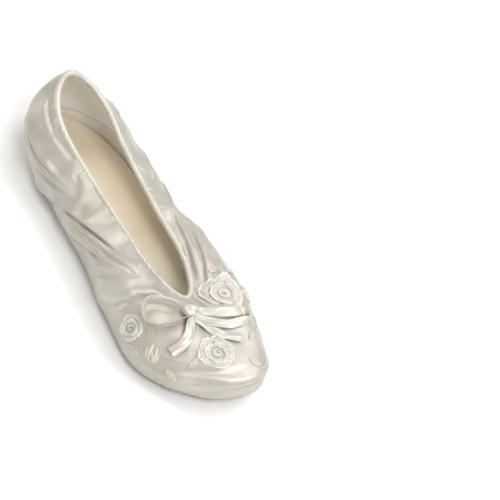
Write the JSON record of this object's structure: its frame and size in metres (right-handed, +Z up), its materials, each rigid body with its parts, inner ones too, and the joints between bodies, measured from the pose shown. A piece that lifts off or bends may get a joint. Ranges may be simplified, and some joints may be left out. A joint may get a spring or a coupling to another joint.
{
  "type": "ballet slipper",
  "caption": "Soft right-foot ballet slipper with a long narrow foot opening, gathered satin upper, thin flat sole, a small ribbon bow and raised thread roses on the toe.",
  "frame": {"origin": "on the floor under the middle of the slipper's bounding box", "axes": "+Z up, toe towards -Y, heel towards +Y, big-toe side towards +X"},
  "size_m": [0.0817, 0.2475, 0.0562],
  "materials": {
    "satin": "ivory duchess satin, glossy folds",
    "satin_trim": "ivory satin bias strip, gathered",
    "ribbon": "ivory satin ribbon, soft gloss",
    "embroidery": "rayon embroidery thread, ivory",
    "embroidery_green": "rayon embroidery thread, pale sage ivory",
    "embroidery_blush": "rayon embroidery thread, pale blush",
    "lining": "cotton twill, beige",
    "heel_patch": "brushed tricot, light beige",
    "insole": "smooth pigskin sock lining, tan",
    "suede": "brushed suede, light tan",
    "board": "fibreboard",
    "foam": "soft latex foam",
    "felt": "pressed felt",
    "backing": "light woven stabiliser",
    "elastic": "round cord elastic",
    "thread": "polyester sewing thread, ivory"
  },
  "bodies": {
    "root": {"outsole": "suede", "outsole_stitches": "thread", "bottom_filler": "felt", "insole_board": "board", "insole_foam": "foam", "insole_cover": "insole", "satin_upper": "satin", "vamp_backing": "backing", "upper_lining": "lining", "back_seam_tape": "backing", "heel_grip": "heel_patch", "topline_binding": "satin_trim", "topline_elastic": "elastic", "binding_stitches": "thread", "bow_knot": "ribbon", "bow_tack_thread": "thread", "bow_loop_left": "ribbon", "bow_loop_right": "ribbon", "bow_tail_left": "ribbon", "bow_tail_right": "ribbon", "embroidered_leaves": "embroidery_green", "embroidered_stems": "embroidery_green", "rose_right_of_bow": "embroidery", "rose_front": "embroidery", "rose_left": "embroidery", "rosebud_lower_left": "embroidery_blush", "rosebud_right_side": "embroidery_blush"}
  },
  "joints": []
}
